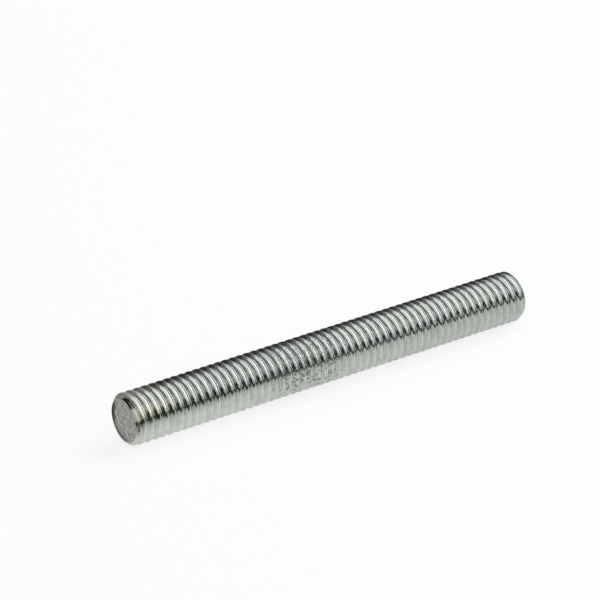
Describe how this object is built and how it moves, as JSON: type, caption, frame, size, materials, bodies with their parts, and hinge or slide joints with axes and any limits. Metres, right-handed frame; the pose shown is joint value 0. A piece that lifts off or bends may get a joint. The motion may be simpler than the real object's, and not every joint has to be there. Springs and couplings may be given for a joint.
{
  "type": "threaded rod",
  "caption": "Short straight rod of zinc-plated steel with a metric thread along its whole length, for joining or spacing parts with nuts.",
  "frame": {"origin": "centre of the lower end face, on the surface that the rod stands on", "axes": "+Z along the rod's axis, from the lower end face to the upper one"},
  "size_m": [0.0078, 0.0078, 0.07],
  "materials": {
    "zinc_plated_steel": "bright zinc plating on rolled thread, with matte end faces"
  },
  "bodies": {
    "root": {"threaded_rod": "zinc_plated_steel"}
  },
  "joints": []
}
